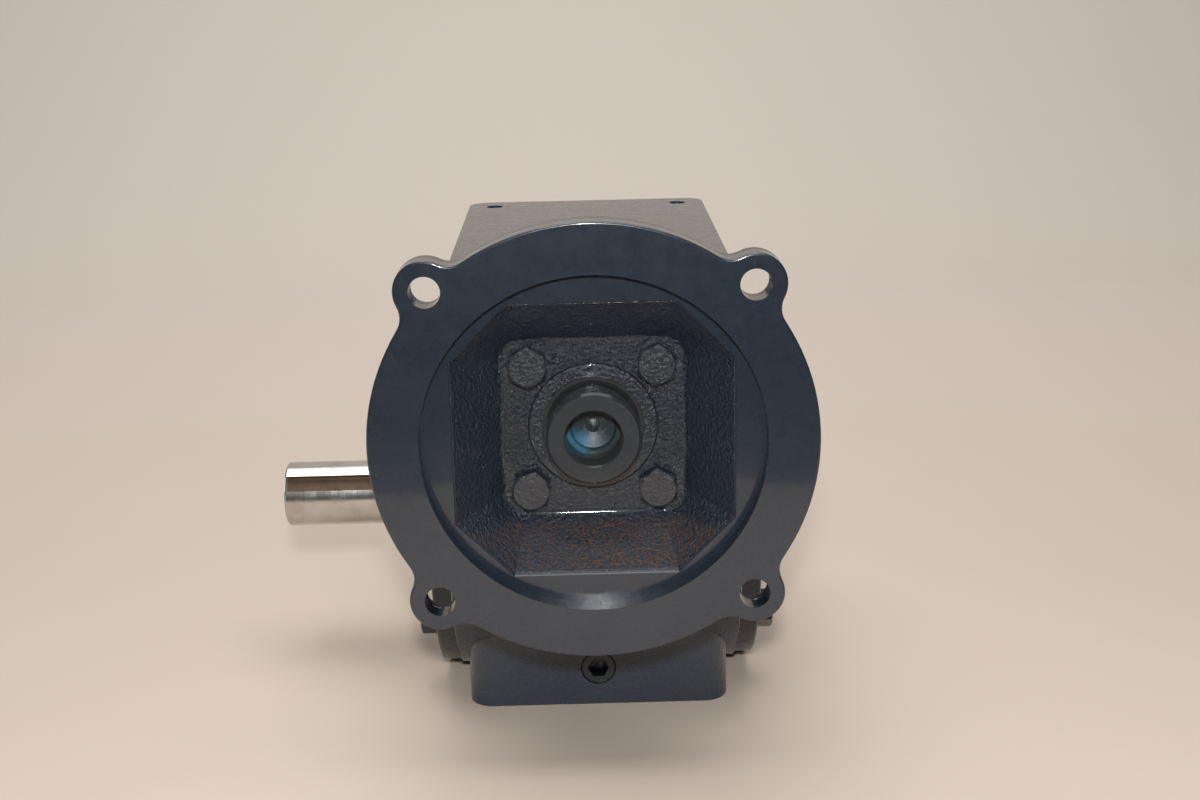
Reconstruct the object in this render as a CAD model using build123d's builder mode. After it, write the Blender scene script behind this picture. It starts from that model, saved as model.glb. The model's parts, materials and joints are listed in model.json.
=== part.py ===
from build123d import *

import os
from math import acos, atan, cos, degrees, pi, radians, sin, sqrt, tan

os.makedirs("parts", exist_ok=True)

# Right-angle worm gear reducer. Millimetres, +Z up.
# Origin: on the base plane, straight below the crossing of the two axes in plan.
# -Y points out of the motor flange, -X along the free end of the output shaft.

# ---- driving dimensions -------------------------------------------------------------------
CENTRE_DISTANCE = 52.4          # 2 1/16 in between worm axis and wheel axis
OUTPUT_Z = 68.5                 # output axis above the base
WORM_Z = OUTPUT_Z + CENTRE_DISTANCE
HOUSING_HEIGHT = 175.5
BASE_WIDTH = 98.4               # along X, at the base
BASE_LENGTH = 110.6             # along Y, at the base
CASTING_DRAFT = 0.5             # degrees, the walls lean inwards towards the top
HOUSING_CORNER_R = 9.0
SIDE_WALL = 8.5
END_WALL = 7.6
FLOOR_Z = 8.0
CEILING_Z = HOUSING_HEIGHT - 9.0
CORNER_COLUMN = 17.0            # corner of the cavity left solid for the foot and head screws

FOOT_X = 37.3                   # tapped holes of base and top
FOOT_Y = 42.5
HEAD_HOLE_Y = -64.2             # the front pair of the top
FOOT_TAP_R = 3.3                # 5/16-18 tap drill
FOOT_DEPTH = 15.0

# input side, measured as depth behind the motor flange face
FLANGE_Y = -113.5
QUILL_DEPTH = 9.0
REGISTER_DEPTH = 6.4
PAD_DEPTH = 24.6
ADAPTER_LENGTH = 36.0
GASKET = 0.5
BOSS_Y = FLANGE_Y + ADAPTER_LENGTH + GASKET

FLANGE_R = 74.2
FLANGE_PLATE = 10.0
FLANGE_EDGE_R = 0.8
REGISTER_R = 57.15              # 4.5 in rabbet of a 56C motor
MOTOR_PCD = 149.225             # 5 7/8 in bolt circle
MOTOR_HOLE_R = 5.15             # clears a 3/8 in bolt
EAR_R = 10.2
EAR_BLEND_R = 8.0
OCTAGON_HALF = 47.0             # cavity mouth, half across flats
OCTAGON_EDGE_HALF = 27.8        # half the length of its four long edges
PAD_HALF = 31.25
PAD_CORNER_R = 7.5
PAD_EDGE_R = 2.5
ADAPTER_BOLT_HALF = 21.75       # four bolts on a square
ADAPTER_WALL = 7.0
NECK_HALF = 34.0
NECK_CORNER_R = 9.0

QUILL_R = 15.875                # 1 1/4 in sleeve
QUILL_BORE_R = 9.525            # 3/4 in bore
QUILL_BORE_DEPTH = 45.0
PLUG_DEPTH = 13.0
PLUG_GROOVE = 1.4
SEAL_R = 22.225                 # 1 3/4 in seal pocket
SEAL_PROUD = 1.2
SEAL_WIDTH = 8.0

# output side
OUTPUT_R = 12.7                 # 1 in shaft
SEAL_JOURNAL_R = 12.3           # ground smaller where the seal runs
OUTPUT_END = 122.0
KEYWAY_WIDTH = 6.35
KEYWAY_DEPTH = 3.2
KEYWAY_LENGTH = 44.0
KEYWAY_ANGLE = 37.0             # keyway turned up from the -Y direction at rest
SIDE_FACE = 53.0                # machined face of the round side bosses
SIDE_BOSS_R = 68.2
SIDE_BOSS_INNER = 40.0
SIDE_OPENING_R = 47.5
COVER_R = 67.0
COVER_THICKNESS = 7.0
SHIM = 0.5
COVER_BOLT_R = 54.0
COVER_FACE = SIDE_FACE + SHIM + COVER_THICKNESS

# gear set: single-start right-hand worm, 30-tooth bronze wheel
MODULE = 2.75
WHEEL_TEETH = 30
PRESSURE_ANGLE = radians(20)
AXIAL_PITCH = pi * MODULE
WHEEL_PITCH_R = MODULE * WHEEL_TEETH / 2
WORM_PITCH_R = CENTRE_DISTANCE - WHEEL_PITCH_R
WORM_TIP_R = WORM_PITCH_R + MODULE
WORM_ROOT_R = WORM_PITCH_R - 1.25 * MODULE
LEAD_ANGLE = degrees(atan(AXIAL_PITCH / (2 * pi * WORM_PITCH_R)))
WORM_HALF_LENGTH = 28.0
WHEEL_OUTER_R = 44.2
WHEEL_FACE = 20.0
WHEEL_RIM_BORE_R = 32.0
BACKLASH = 1.2                  # at the pitch circle, both flanks together
GAP_TILT = 1.12 * LEAD_ANGLE    # the gaps follow the thread a little ahead of its lead angle

# hardware sizes: shank radius, width across flats, head height
BOLT_5_16 = (3.9, 12.7, 5.3)
BOLT_1_4 = (3.1, 11.1, 4.2)
PLUG_THREAD_R = 6.6             # 1/4 in pipe plug
PLUG_SOCKET_FLATS = 7.0
RUNNING = 0.04                  # radial clearance of rolling and rubbing pieces
PLAY = 0.05                     # slack of a screw in its hole

# ---- planes and axes ----------------------------------------------------------------------
# In WORM_PLANE the first coordinate is Y, in OUTPUT_PLANE it is X; the second is the radius.
WORM_PLANE = Plane(origin=(0, 0, WORM_Z), x_dir=(0, 1, 0), z_dir=(1, 0, 0))
OUTPUT_PLANE = Plane(origin=(0, 0, OUTPUT_Z), x_dir=(1, 0, 0), z_dir=(0, -1, 0))
WORM_AXIS = Axis((0, 0, WORM_Z), (0, 1, 0))
OUTPUT_AXIS = Axis((0, 0, OUTPUT_Z), (1, 0, 0))


def inward(y):
    """Plane across the worm axis at y, its normal along +Y."""
    return Plane(origin=(0, y, WORM_Z), x_dir=(-1, 0, 0), z_dir=(0, 1, 0))


def side_plane(side, distance):
    """Plane across the output axis, its normal pointing away from the middle."""
    return Plane(origin=(side * distance, 0, OUTPUT_Z), x_dir=(0, side, 0), z_dir=(side, 0, 0))


def across_flats(width):
    """Radius of the circle through the corners of a hexagon."""
    return width / sqrt(3)


def write(part, node):
    """Labels a finished piece and writes its STEP file."""
    part.label = node
    export_step(part, f"parts/{node}.step")


def turned(profile, plane, axis, node):
    """A turned piece: a closed half-section given as (along, radius) points."""
    with BuildPart() as piece:
        with BuildSketch(plane):
            with BuildLine():
                Polyline(profile, close=True)
            make_face()
        revolve(axis=axis)
    write(piece.part, node)


# ---- housing ------------------------------------------------------------------------------
REAR_PAD_R = 37.0
REAR_FACE = 58.0
REAR_BOSS_R = 27.8
REAR_BOSS_INNER = 40.5
REAR_BOLT_R = 30.5
REAR_BEARING = (20.0, 47.0, 14.0)         # bore, outside diameter, width
FRONT_BEARING = (30.0, 47.0, 9.0)
OUTPUT_BEARING = (30.0, 62.0, 16.0)
FRONT_PASSAGE_R = 20.5                    # the worm goes in through this bore
REAR_PASSAGE_R = 18.5
REAR_SEAT = 41.5                          # inner end of the rear bearing
OUTPUT_SEAT = 38.0                        # inner end of the output bearings
FRONT_BORE_DEPTH = 10.0
DRAIN_Z = 14.8
LEVEL_X = 27.0                            # beside the wheel
LEVEL_Z = 72.0
HEAD_Y = -76.5                            # front of the housing's head, around the worm's bearing
HEAD_LOW_Z = 96.0                         # underside of the head at its front
HEAD_SLOPE = 12.0                         # rise of that underside from the body to the front
BREATHER_Y = 38.0
BREATHER_Z = 141.0
BREATHER_GAP = 0.1                        # its hexagon stands just off the leaning wall
PLUG_TIP = 11.0                           # length of the plugs' threads
COVER_TAP_DEPTH = 19.0
ADAPTER_TAP_DEPTH = 16.0
CAP_TAP_DEPTH = 12.0

front_boss = inward(BOSS_Y)
front_holes = Plane(origin=(0, BOSS_Y, WORM_Z), x_dir=(1, 0, 0), z_dir=(0, -1, 0))


def wall_y(z):
    """Half length of the drafted casting at height z."""
    return BASE_LENGTH / 2 - z * tan(radians(CASTING_DRAFT))


def wall_x(z):
    """Half width of the drafted casting at height z."""
    return BASE_WIDTH / 2 - z * tan(radians(CASTING_DRAFT))


PLUG_PLACES = {
    "front_drain_plug": Plane(origin=(0, -wall_y(DRAIN_Z), DRAIN_Z), x_dir=(1, 0, 0), z_dir=(0, -1, 0)),
    "rear_drain_plug": Plane(origin=(0, wall_y(DRAIN_Z), DRAIN_Z), x_dir=(-1, 0, 0), z_dir=(0, 1, 0)),
    "level_plug": Plane(origin=(LEVEL_X, wall_y(LEVEL_Z), LEVEL_Z), x_dir=(-1, 0, 0), z_dir=(0, 1, 0)),
}
BREATHER_PLACE = Plane(
    origin=(wall_x(BREATHER_Z) + BREATHER_GAP, BREATHER_Y, BREATHER_Z), x_dir=(0, 1, 0), z_dir=(1, 0, 0)
)

with BuildPart() as worm_head:
    with BuildSketch(Plane.XY):
        with Locations((0, HEAD_Y / 2)):
            RectangleRounded(BASE_WIDTH, abs(HEAD_Y), HOUSING_CORNER_R)
    extrude(amount=HOUSING_HEIGHT, taper=CASTING_DRAFT)
    with BuildSketch(Plane.YZ):
        with BuildLine():
            Polyline(
                (HEAD_Y - HOUSING_CORNER_R, HEAD_LOW_Z), (-BASE_LENGTH / 2, HEAD_LOW_Z - HEAD_SLOPE),
                (0, HEAD_LOW_Z - HEAD_SLOPE), (0, HOUSING_HEIGHT), (HEAD_Y - HOUSING_CORNER_R, HOUSING_HEIGHT),
                close=True,
            )
        make_face()
    extrude(amount=BASE_WIDTH, both=True, mode=Mode.INTERSECT)

with BuildPart() as housing:
    with BuildSketch(Plane.XY):
        RectangleRounded(BASE_WIDTH, BASE_LENGTH, HOUSING_CORNER_R)
    extrude(amount=HOUSING_HEIGHT, taper=CASTING_DRAFT)
    for side in (-1, 1):
        with BuildSketch(side_plane(side, SIDE_BOSS_INNER)):
            Circle(SIDE_BOSS_R)
        extrude(amount=SIDE_FACE - SIDE_BOSS_INNER)
    add(worm_head.part)
    with BuildSketch(front_boss):
        RectangleRounded(2 * NECK_HALF, 2 * NECK_HALF, NECK_CORNER_R)
    extrude(amount=abs(BOSS_Y) - BASE_LENGTH / 2 + END_WALL)
    with BuildSketch(inward(REAR_BOSS_INNER)):
        Circle(REAR_PAD_R)
    extrude(amount=REAR_FACE - REAR_BOSS_INNER)

    with BuildSketch(Plane.XY.offset(FLOOR_Z)) as cavity:
        Rectangle(BASE_WIDTH - 2 * SIDE_WALL, BASE_LENGTH - 2 * END_WALL)
        chamfer(cavity.vertices(), CORNER_COLUMN)
    extrude(amount=CEILING_Z - FLOOR_Z, mode=Mode.SUBTRACT)
    with BuildSketch(inward(REAR_BOSS_INNER)):
        Circle(REAR_BOSS_R)
    extrude(amount=REAR_FACE - REAR_BOSS_INNER - END_WALL)

    with BuildSketch(side_plane(1, 0)):
        Circle(SIDE_OPENING_R)
    extrude(amount=SIDE_FACE, both=True, mode=Mode.SUBTRACT)
    for side in (-1, 1):
        with Locations(side_plane(side, SIDE_FACE)):
            with PolarLocations(COVER_BOLT_R, 4, start_angle=45):
                Hole(BOLT_5_16[0] + PLAY, depth=COVER_TAP_DEPTH)

    with Locations(front_holes):
        Hole(FRONT_BEARING[1] / 2, depth=FRONT_BORE_DEPTH)
        Hole(FRONT_PASSAGE_R, depth=abs(BOSS_Y) - BASE_LENGTH / 2 + 2 * END_WALL)
        with GridLocations(2 * ADAPTER_BOLT_HALF, 2 * ADAPTER_BOLT_HALF, 2, 2):
            Hole(BOLT_5_16[0] + PLAY, depth=ADAPTER_TAP_DEPTH)
    with Locations(inward(REAR_FACE)):
        Hole(REAR_BEARING[1] / 2, depth=REAR_FACE - REAR_SEAT)
        Hole(REAR_PASSAGE_R, depth=REAR_FACE - REAR_BOSS_INNER + 2)
        with PolarLocations(REAR_BOLT_R, 4, start_angle=45):
            Hole(BOLT_1_4[0] + PLAY, depth=CAP_TAP_DEPTH)

    for z, way, front in ((HOUSING_HEIGHT, 1, HEAD_HOLE_Y), (0, -1, -FOOT_Y)):
        for x in (-FOOT_X, FOOT_X):
            for y in (front, FOOT_Y):
                with Locations(Plane(origin=(x, y, z), x_dir=(1, 0, 0), z_dir=(0, 0, way))):
                    Hole(FOOT_TAP_R, depth=FOOT_DEPTH)
    for place in (*PLUG_PLACES.values(), BREATHER_PLACE):
        with Locations(place):
            Hole(PLUG_THREAD_R + PLAY, depth=PLUG_TIP + 2)
write(housing.part, "housing")


# ---- motor flange (adapter casting) ---------------------------------------------------------
OCTAGON_CUT = OCTAGON_HALF - OCTAGON_EDGE_HALF
OUTER_OCTAGON = OCTAGON_HALF + ADAPTER_WALL
EAR_CENTRE = MOTOR_PCD / 2
NECK_START = 28.0                         # depth where the shell has narrowed to the neck


def flange_y(depth):
    """Y of a plane at this depth behind the motor flange face."""
    return FLANGE_Y + depth


with BuildPart() as recess:
    with BuildSketch(inward(flange_y(REGISTER_DEPTH))) as mouth:
        Rectangle(2 * OCTAGON_HALF, 2 * OCTAGON_HALF)
        chamfer(mouth.vertices(), OCTAGON_CUT)
    with BuildSketch(inward(flange_y(PAD_DEPTH))):
        RectangleRounded(2 * PAD_HALF, 2 * PAD_HALF, PAD_CORNER_R)
    loft()
    fillet(recess.faces().sort_by(Axis.Y)[-1].edges(), PAD_EDGE_R)

with BuildPart() as motor_flange:
    with BuildSketch(inward(FLANGE_Y)) as plate:
        Circle(FLANGE_R)
        with PolarLocations(EAR_CENTRE, 4, start_angle=45):
            Circle(EAR_R)
        fillet(plate.vertices(), EAR_BLEND_R)
    extrude(amount=FLANGE_PLATE)
    fillet(motor_flange.edges().group_by(Axis.Y)[0], FLANGE_EDGE_R)
    with BuildSketch(inward(flange_y(FLANGE_PLATE))) as shell_front:
        Rectangle(2 * OUTER_OCTAGON, 2 * OUTER_OCTAGON)
        chamfer(shell_front.vertices(), OCTAGON_CUT + ADAPTER_WALL / 2)
    with BuildSketch(inward(flange_y(NECK_START))):
        RectangleRounded(2 * NECK_HALF, 2 * NECK_HALF, NECK_CORNER_R)
    loft()
    with BuildSketch(inward(flange_y(NECK_START))):
        RectangleRounded(2 * NECK_HALF, 2 * NECK_HALF, NECK_CORNER_R)
    extrude(amount=ADAPTER_LENGTH - NECK_START)

    with BuildSketch(inward(FLANGE_Y)):
        Circle(REGISTER_R)
    extrude(amount=REGISTER_DEPTH, mode=Mode.SUBTRACT)
    add(recess.part, mode=Mode.SUBTRACT)

    with Locations(Plane(origin=(0, FLANGE_Y, WORM_Z), x_dir=(1, 0, 0), z_dir=(0, -1, 0))):
        Hole(SEAL_R, depth=ADAPTER_LENGTH)
        with PolarLocations(EAR_CENTRE, 4, start_angle=45):
            Hole(MOTOR_HOLE_R, depth=FLANGE_PLATE)
        with GridLocations(2 * ADAPTER_BOLT_HALF, 2 * ADAPTER_BOLT_HALF, 2, 2):
            Hole(BOLT_5_16[0] + PLAY, depth=ADAPTER_LENGTH)
write(motor_flange.part, "motor_flange")


# ---- gaskets and shims ----------------------------------------------------------------------
GASKET_MARGIN = 1.5
SHEET_PLAY = 0.2

with BuildPart() as flange_gasket:
    with BuildSketch(inward(BOSS_Y - GASKET)):
        RectangleRounded(2 * NECK_HALF, 2 * NECK_HALF, NECK_CORNER_R)
        Circle(SEAL_R + GASKET_MARGIN, mode=Mode.SUBTRACT)
        with GridLocations(2 * ADAPTER_BOLT_HALF, 2 * ADAPTER_BOLT_HALF, 2, 2):
            Circle(BOLT_5_16[0] + PLAY, mode=Mode.SUBTRACT)
    extrude(amount=GASKET)
write(flange_gasket.part, "flange_gasket")

with BuildPart() as rear_cap_gasket:
    with BuildSketch(inward(REAR_FACE)):
        Circle(REAR_PAD_R)
        Circle(REAR_BEARING[1] / 2 + SHEET_PLAY, mode=Mode.SUBTRACT)
        with PolarLocations(REAR_BOLT_R, 4, start_angle=45):
            Circle(BOLT_1_4[0] + PLAY, mode=Mode.SUBTRACT)
    extrude(amount=GASKET)
write(rear_cap_gasket.part, "rear_cap_gasket")

for side, name in ((-1, "output_cover_shims"), (1, "blind_cover_shims")):
    with BuildPart() as shims:
        with BuildSketch(side_plane(side, SIDE_FACE)):
            Circle(COVER_R - 2 * SHEET_PLAY)
            Circle(SIDE_OPENING_R + SHEET_PLAY, mode=Mode.SUBTRACT)
            with PolarLocations(COVER_BOLT_R, 4, start_angle=45):
                Circle(BOLT_5_16[0] + PLAY, mode=Mode.SUBTRACT)
        extrude(amount=SHIM)
    write(shims.part, name)


# ---- covers ---------------------------------------------------------------------------------
SPIGOT_INNER = 37.0                       # how far in the covers' spigots reach
BEARING_POCKET_R = OUTPUT_BEARING[1] / 2
POCKET_FLOOR = OUTPUT_SEAT + OUTPUT_BEARING[2] + PLAY
OUTPUT_SEAL_R = 22.225                    # 1 3/4 in seal on the 1 in shaft
COVER_EDGE_R = 1.2
SPIGOT_FIT = 0.05
PILOT_DEPTH = 7.0
BEARING_WALL = 5.5
BLIND_WALL = 3.5                          # left outside the blind cover's recess

for side, name in ((-1, "output_cover"), (1, "blind_cover")):
    with BuildPart() as cover:
        with BuildSketch(side_plane(side, SIDE_FACE + SHIM)):
            Circle(COVER_R)
        extrude(amount=COVER_THICKNESS)
        fillet(cover.edges().group_by(Axis.X)[-1 if side > 0 else 0], COVER_EDGE_R)
        with BuildSketch(side_plane(side, SIDE_FACE + SHIM)):
            Circle(SIDE_OPENING_R - SPIGOT_FIT)
        extrude(amount=-(PILOT_DEPTH + SHIM))
        with BuildSketch(side_plane(side, SPIGOT_INNER)):
            Circle(BEARING_POCKET_R + BEARING_WALL)
        extrude(amount=SIDE_FACE - SPIGOT_INNER)
        with BuildSketch(side_plane(side, SPIGOT_INNER)):
            Circle(BEARING_POCKET_R)
        extrude(amount=POCKET_FLOOR - SPIGOT_INNER, mode=Mode.SUBTRACT)
        with BuildSketch(side_plane(side, POCKET_FLOOR)):
            Circle(OUTPUT_SEAL_R)
        recess_end = COVER_FACE if side < 0 else COVER_FACE - BLIND_WALL
        extrude(amount=recess_end - POCKET_FLOOR, mode=Mode.SUBTRACT)
        with Locations(side_plane(side, COVER_FACE)):
            with PolarLocations(COVER_BOLT_R, 4, start_angle=45):
                Hole(BOLT_5_16[0] + PLAY, depth=COVER_THICKNESS)
    write(cover.part, name)

CAP_THICKNESS = 6.0
CAP_FACE = REAR_FACE + GASKET + CAP_THICKNESS
CAP_SPIGOT_WALL = 4.0
CAP_RECESS = 2.0
CAP_MARGIN = 0.5

with BuildPart() as rear_cap:
    with BuildSketch(inward(REAR_FACE + GASKET)):
        Circle(REAR_PAD_R - CAP_MARGIN)
    extrude(amount=CAP_THICKNESS)
    fillet(rear_cap.edges().group_by(Axis.Y)[-1], COVER_EDGE_R)
    with BuildSketch(inward(REAR_SEAT + REAR_BEARING[2] + PLAY)):
        Circle(REAR_BEARING[1] / 2 - SPIGOT_FIT)
        Circle(REAR_BEARING[1] / 2 - CAP_SPIGOT_WALL, mode=Mode.SUBTRACT)
    extrude(amount=REAR_FACE + GASKET - REAR_SEAT - REAR_BEARING[2] - PLAY)
    with BuildSketch(inward(REAR_FACE + GASKET)):
        Circle(REAR_BEARING[1] / 2 - CAP_SPIGOT_WALL)
    extrude(amount=CAP_RECESS, mode=Mode.SUBTRACT)
    with Locations(inward(CAP_FACE)):
        with PolarLocations(REAR_BOLT_R, 4, start_angle=45):
            Hole(BOLT_1_4[0] + PLAY, depth=CAP_THICKNESS)
write(rear_cap.part, "rear_cap")


# ---- bolts, washers and plugs ---------------------------------------------------------------
WASHER = (4.1, 7.0, 1.6)                  # lock washer: bore radius, outer radius, thickness
COVER_SCREW = 26.0                        # lengths under the head
ADAPTER_SCREW = 26.0
CAP_SCREW = 17.0
CROWN_SHARE = 0.47                        # radius of the flat on top of a head, to its width
CROWN_ANGLE = radians(30)


def hexagon_head(flats, height):
    """Hexagon of the given width across flats, its top corners turned off at 30 degrees."""
    corner_r = across_flats(flats)
    crown_r = CROWN_SHARE * flats
    crown_drop = (corner_r - crown_r) * tan(CROWN_ANGLE)
    with BuildPart() as head:
        with BuildSketch(Plane.XY):
            RegularPolygon(corner_r, 6)
        extrude(amount=height)
        with BuildSketch(Plane.XZ):
            with BuildLine():
                Polyline(
                    (0, 0), (corner_r, 0), (corner_r, height - crown_drop), (crown_r, height),
                    (0, height), close=True,
                )
            make_face()
        revolve(axis=Axis.Z, mode=Mode.INTERSECT)
    return head.part


def hex_bolts(face, spots, size, length, turns, node):
    """Hexagon-head screws: the heads stand on the face plane, the shanks go into it."""
    shank_r, flats, height = size
    head = hexagon_head(flats, height)
    with BuildPart() as bolts:
        for spot, turn in zip(spots, turns):
            with Locations(face * Location(spot, (0, 0, turn))):
                add(head)
                Cylinder(shank_r, length, align=(Align.CENTER, Align.CENTER, Align.MAX))
    write(bolts.part, node)


def ring_spots(radius):
    """Four places on a circle, at 45 degrees to the horizontal."""
    reach = radius / sqrt(2)
    return [(reach, reach, 0), (-reach, reach, 0), (-reach, -reach, 0), (reach, -reach, 0)]


PAD_SPOTS = [(x * ADAPTER_BOLT_HALF, z * ADAPTER_BOLT_HALF, 0) for x in (-1, 1) for z in (1, -1)]
pad_face = Plane(origin=(0, flange_y(PAD_DEPTH), WORM_Z), x_dir=(1, 0, 0), z_dir=(0, -1, 0))
hex_bolts(pad_face, PAD_SPOTS, BOLT_5_16, ADAPTER_SCREW, (30, 18, 25, 33), "flange_bolts")
hex_bolts(
    inward(CAP_FACE), ring_spots(REAR_BOLT_R), BOLT_1_4, CAP_SCREW, (12, 40, 5, 28), "rear_cap_bolts"
)

for side, end in ((-1, "output"), (1, "blind")):
    seat = side_plane(side, COVER_FACE + WASHER[2])
    hex_bolts(
        seat, ring_spots(COVER_BOLT_R), BOLT_5_16, COVER_SCREW, (0, 30, 15, 22), f"{end}_cover_bolts"
    )
    with BuildPart() as washers:
        with BuildSketch(side_plane(side, COVER_FACE)):
            with Locations(*ring_spots(COVER_BOLT_R)):
                Circle(WASHER[1])
                Circle(WASHER[0], mode=Mode.SUBTRACT)
        extrude(amount=WASHER[2])
    write(washers.part, f"{end}_cover_washers")

PLUG_CHAMFER = 0.5
PLUG_SOCKET_DEPTH = 6.5
for node, place in PLUG_PLACES.items():
    with BuildPart() as pipe_plug:
        with Locations(place):
            Cylinder(PLUG_THREAD_R, PLUG_TIP, align=(Align.CENTER, Align.CENTER, Align.MAX))
        chamfer(pipe_plug.edges().filter_by(GeomType.CIRCLE), PLUG_CHAMFER)
        with BuildSketch(place):
            RegularPolygon(across_flats(PLUG_SOCKET_FLATS), 6)
        extrude(amount=-PLUG_SOCKET_DEPTH, mode=Mode.SUBTRACT)
    write(pipe_plug.part, node)

# breather: a hexagon fitting with a vented post, and a loose cap over the post
BREATHER_FLATS = 14.3
BREATHER_HEX = 5.0
BREATHER_POST_R = 4.5
BREATHER_POST = 3.0
BREATHER_VENT_R = 1.6
BREATHER_CAP_R = 7.0
BREATHER_CAP_TOP = 1.4
BREATHER_CAP_LIFT = 0.6                   # air gap between hexagon and cap
with BuildPart() as breather_body:
    with Locations(BREATHER_PLACE):
        Cylinder(PLUG_THREAD_R, PLUG_TIP, align=(Align.CENTER, Align.CENTER, Align.MAX))
    with BuildSketch(BREATHER_PLACE):
        RegularPolygon(across_flats(BREATHER_FLATS), 6)
    extrude(amount=BREATHER_HEX)
    with BuildSketch(BREATHER_PLACE.offset(BREATHER_HEX)):
        Circle(BREATHER_POST_R)
    extrude(amount=BREATHER_POST)
    with Locations(BREATHER_PLACE.offset(BREATHER_HEX + BREATHER_POST)):
        Hole(BREATHER_VENT_R, depth=BREATHER_HEX + BREATHER_POST + PLUG_TIP)
write(breather_body.part, "breather_body")

cap_foot = BREATHER_PLACE.offset(BREATHER_HEX + BREATHER_CAP_LIFT)
with BuildPart() as breather_cap:
    with BuildSketch(cap_foot):
        Circle(BREATHER_CAP_R)
        Circle(BREATHER_POST_R, mode=Mode.SUBTRACT)
    extrude(amount=BREATHER_POST)
    with BuildSketch(cap_foot.offset(BREATHER_POST)):
        Circle(BREATHER_CAP_R)
    extrude(amount=BREATHER_CAP_TOP)
    fillet(breather_cap.edges().group_by(Axis.X)[-1], 0.8)
write(breather_cap.part, "breather_cap")


# ---- seals ----------------------------------------------------------------------------------
SEAL_WALL = 1.5                           # steel case
SEAL_LIP = 1.6                            # rubber web and the gap between case and shaft
SEAL_COLLAR = 2.6                         # radial depth of the rubber at the shaft
SEAL_EDGE_R = 1.0
SEAL_END_GAP = 2.0                        # the lip ends this far short of the case's open end


def lip_seal(place, shaft_r, pocket_r, width, prefix):
    """Oil seal seen from outside: the pressed case, then the rubber lip round the shaft."""
    with BuildPart() as case:
        with BuildSketch(place):
            Circle(pocket_r)
        extrude(amount=-width)
        fillet(case.faces().sort_by(Axis(place.origin, place.z_dir))[-1].edges(), SEAL_EDGE_R)
        with BuildSketch(place):
            Circle(shaft_r + SEAL_LIP)
        extrude(amount=-width, mode=Mode.SUBTRACT)
        with BuildSketch(place.offset(-SEAL_WALL)):
            Circle(pocket_r - SEAL_WALL)
        extrude(amount=SEAL_WALL - width, mode=Mode.SUBTRACT)
    write(case.part, f"{prefix}_seal_case")
    with BuildPart() as lip:
        with BuildSketch(place.offset(-SEAL_WALL)):
            Circle(pocket_r - SEAL_WALL)
            Circle(shaft_r + RUNNING, mode=Mode.SUBTRACT)
        extrude(amount=-SEAL_LIP)
        with BuildSketch(place.offset(-SEAL_WALL - SEAL_LIP)):
            Circle(shaft_r + SEAL_COLLAR)
            Circle(shaft_r + RUNNING, mode=Mode.SUBTRACT)
        extrude(amount=SEAL_WALL + SEAL_END_GAP - width)
    write(lip.part, f"{prefix}_seal_lip")


input_seal_face = Plane(
    origin=(0, flange_y(PAD_DEPTH - SEAL_PROUD), WORM_Z), x_dir=(1, 0, 0), z_dir=(0, -1, 0)
)
lip_seal(input_seal_face, QUILL_R, SEAL_R, SEAL_WIDTH, "input")
lip_seal(
    side_plane(-1, COVER_FACE), SEAL_JOURNAL_R, OUTPUT_SEAL_R, COVER_FACE - POCKET_FLOOR - 2 * PLAY,
    "output",
)


# ---- bearings -------------------------------------------------------------------------------
SHOULDER_SHARE = 0.62                     # how deep the balls sit between the shoulders
CAGE_SHARE = 0.3                          # half the cage's wall, to the ball radius
CAGE_REACH = 1.25                         # half the cage's width, to the ball radius


def ball_bearing(size, centre, balls_in, prefix):
    """Deep-groove ball bearing on the worm axis, written as its four pieces."""
    bore, outside, width = size
    ball_r, count = balls_in
    pitch_r = (bore + outside) / 4
    groove_r = ball_r + RUNNING
    lip_reach = SHOULDER_SHARE * ball_r
    groove_half = sqrt(groove_r ** 2 - lip_reach ** 2)
    start = centre - width / 2
    end = centre + width / 2
    for race, wall_r, way in (("outer_race", outside / 2, 1), ("inner_race", bore / 2, -1)):
        shoulder = pitch_r + way * lip_reach
        with BuildPart() as ring:
            with BuildSketch(WORM_PLANE):
                with BuildLine():
                    Polyline((centre + groove_half, shoulder), (end, shoulder), (end, wall_r))
                    Polyline((end, wall_r), (start, wall_r), (start, shoulder))
                    Line((start, shoulder), (centre - groove_half, shoulder))
                    ThreePointArc(
                        (centre - groove_half, shoulder), (centre, pitch_r + way * groove_r),
                        (centre + groove_half, shoulder),
                    )
                make_face()
            revolve(axis=WORM_AXIS)
        write(ring.part, f"{prefix}_{race}")
    with BuildPart() as balls:
        with Locations(inward(centre)):
            with PolarLocations(pitch_r, count):
                Sphere(ball_r)
    write(balls.part, f"{prefix}_balls")
    with BuildPart() as cage:
        with BuildSketch(inward(centre - CAGE_REACH * ball_r)):
            Circle(pitch_r + CAGE_SHARE * ball_r)
            Circle(pitch_r - CAGE_SHARE * ball_r, mode=Mode.SUBTRACT)
        extrude(amount=2 * CAGE_REACH * ball_r)
        with Locations(inward(centre)):
            with PolarLocations(pitch_r, count):
                Cylinder(ball_r + PLAY, 2 * ball_r, rotation=(0, 90, 0), mode=Mode.SUBTRACT)
    write(cage.part, f"{prefix}_cage")


FRONT_BEARING_Y = BOSS_Y + FRONT_BORE_DEPTH - FRONT_BEARING[2] / 2
REAR_BEARING_Y = REAR_SEAT + REAR_BEARING[2] / 2
FRONT_BALLS = (2.6, 15)                   # ball radius, number of balls
REAR_BALLS = (3.95, 8)
ball_bearing(FRONT_BEARING, FRONT_BEARING_Y, FRONT_BALLS, "front_bearing")
ball_bearing(REAR_BEARING, REAR_BEARING_Y, REAR_BALLS, "rear_bearing")

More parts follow.
